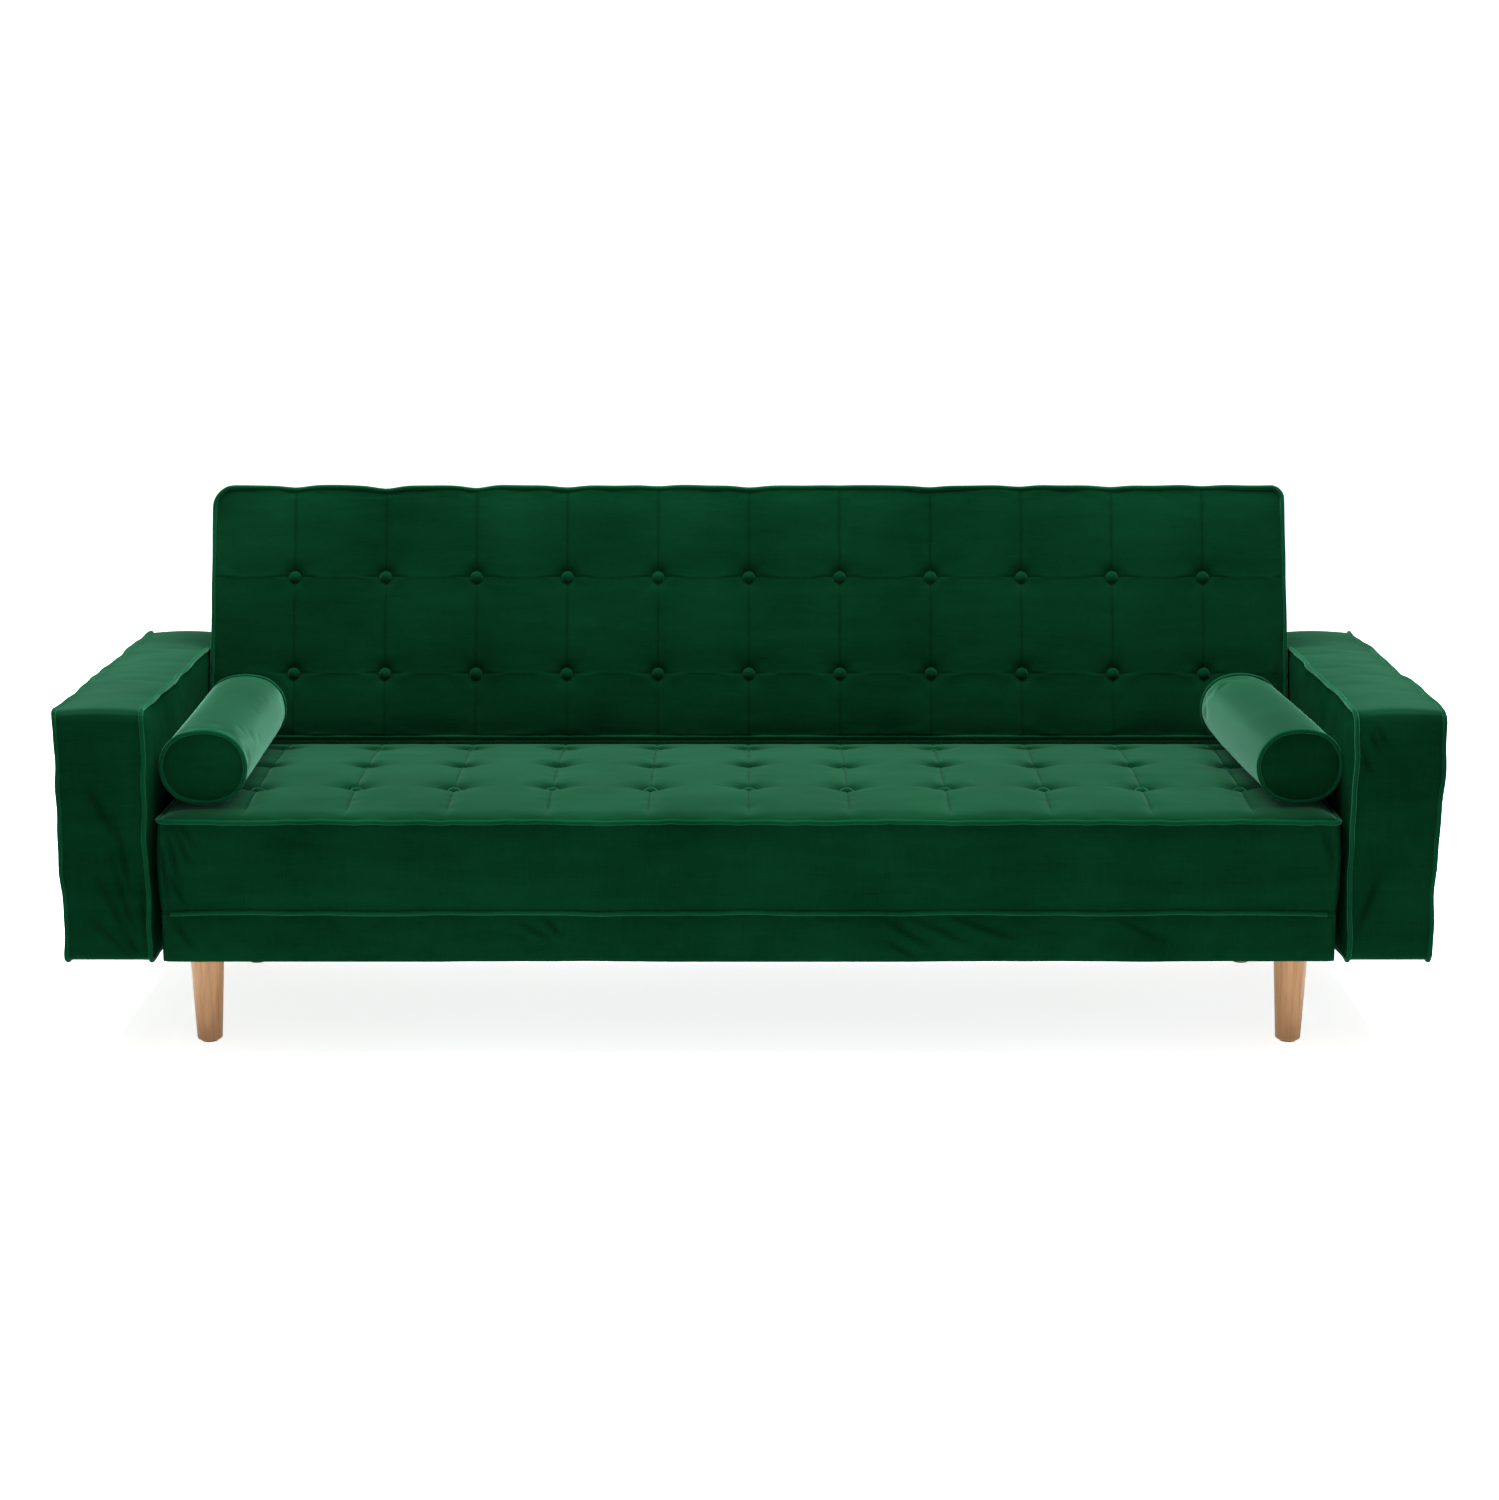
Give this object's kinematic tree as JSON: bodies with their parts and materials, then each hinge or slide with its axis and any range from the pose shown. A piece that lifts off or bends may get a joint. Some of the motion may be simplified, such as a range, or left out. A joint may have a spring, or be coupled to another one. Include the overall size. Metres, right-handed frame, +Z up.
{
  "type": "sofa bed",
  "caption": "Three-seat velvet sofa bed with a tufted seat, a tufted back that folds flat on ratchet hinges, box arms, loose bolsters and tapered wooden legs.",
  "frame": {"origin": "on the floor, under the middle of the sofa's box with its back upright", "axes": "+X towards the right arm as seen from the front, -Y towards the front, +Z up"},
  "size_m": [2.097, 0.7866, 0.808],
  "materials": {
    "velvet": "short pile velvet, dark green, paler where it faces up",
    "velvet_piping": "the same velvet over cord",
    "velvet_buttons": "the same velvet over button shells",
    "leg_wood": "light oak, satin lacquer",
    "glide_plastic": "matt black",
    "foam": "open-cell polyurethane foam and wadding",
    "lining_cloth": "black non-woven cloth",
    "frame_timber": "sawn softwood and plywood, unfinished",
    "spring_steel": "drawn spring wire, oiled",
    "hinge_steel": "pressed steel, black",
    "zinc_fastener": "zinc plated"
  },
  "bodies": {
    "seat": {"arm_left_bolts": "zinc_fastener", "arm_left_cover": "velvet", "arm_left_foam": "foam", "arm_left_frame": "frame_timber", "arm_left_piping": "velvet_piping", "arm_right_bolts": "zinc_fastener", "arm_right_cover": "velvet", "arm_right_foam": "foam", "arm_right_frame": "frame_timber", "arm_right_piping": "velvet_piping", "dust_cover": "lining_cloth", "hinge_pawl_rivets": "zinc_fastener", "hinge_pawl_springs": "spring_steel", "hinge_pivot_pins": "zinc_fastener", "hinge_seat_bolts": "zinc_fastener", "hinge_seat_plate_left": "hinge_steel", "hinge_seat_plate_right": "hinge_steel", "leg_front_left": "leg_wood", "leg_front_right": "leg_wood", "leg_glides": "glide_plastic", "leg_hanger_bolts": "zinc_fastener", "leg_plates": "hinge_steel", "leg_rear_left": "leg_wood", "leg_rear_right": "leg_wood", "seat_base_band": "velvet", "seat_buttons": "velvet_buttons", "seat_corner_blocks": "frame_timber", "seat_cover": "velvet", "seat_cross_rails": "frame_timber", "seat_end_rails": "frame_timber", "seat_foam": "foam", "seat_front_rail": "frame_timber", "seat_lower_piping": "velvet_piping", "seat_rear_rail": "frame_timber", "seat_spring_clips": "spring_steel", "seat_springs": "spring_steel", "seat_top_piping": "velvet_piping"},
    "back": {"back_bottom_rail": "frame_timber", "back_buttons": "velvet_buttons", "back_cover": "velvet", "back_end_rails": "frame_timber", "back_foam": "foam", "back_lining": "lining_cloth", "back_piping": "velvet_piping", "back_slats": "frame_timber", "back_spring_clips": "spring_steel", "back_springs": "spring_steel", "back_top_rail": "frame_timber", "hinge_back_bolts": "zinc_fastener", "hinge_back_plate_left": "hinge_steel", "hinge_back_plate_right": "hinge_steel"},
    "pawl_left": {"hinge_pawl_left": "hinge_steel"},
    "pawl_right": {"hinge_pawl_right": "hinge_steel"},
    "bolster_left": {"bolster_left_core": "foam", "bolster_left_cover": "velvet", "bolster_left_piping": "velvet_piping"},
    "bolster_right": {"bolster_right_core": "foam", "bolster_right_cover": "velvet", "bolster_right_piping": "velvet_piping"}
  },
  "joints": [
    {"name": "back_recline", "type": "hinge", "parent": "seat", "child": "back", "pos_m": [0, 0.17523, 0.342], "axis": [-1, 0, 0], "range_deg": [-8, 73]},
    {"name": "pawl_left_turn", "type": "hinge", "parent": "seat", "child": "pawl_left", "pos_m": [-0.90475, 0.13923, 0.296], "axis": [-1, 0, 0], "range_deg": [0, 6], "stiffness_Nm_per_rad": 0.5},
    {"name": "pawl_right_turn", "type": "hinge", "parent": "seat", "child": "pawl_right", "pos_m": [0.90475, 0.13923, 0.296], "axis": [-1, 0, 0], "range_deg": [0, 6], "stiffness_Nm_per_rad": 0.5},
    {"name": "bolster_left_lift", "type": "slide", "parent": "seat", "child": "bolster_left", "axis": [0, 0, 1], "range_m": [0, 0.4]},
    {"name": "bolster_right_lift", "type": "slide", "parent": "seat", "child": "bolster_right", "axis": [0, 0, 1], "range_m": [0, 0.4]}
  ],
  "couplings": [
    {"joint": "pawl_right_turn", "follows": "pawl_left_turn", "ratio": 1}
  ]
}
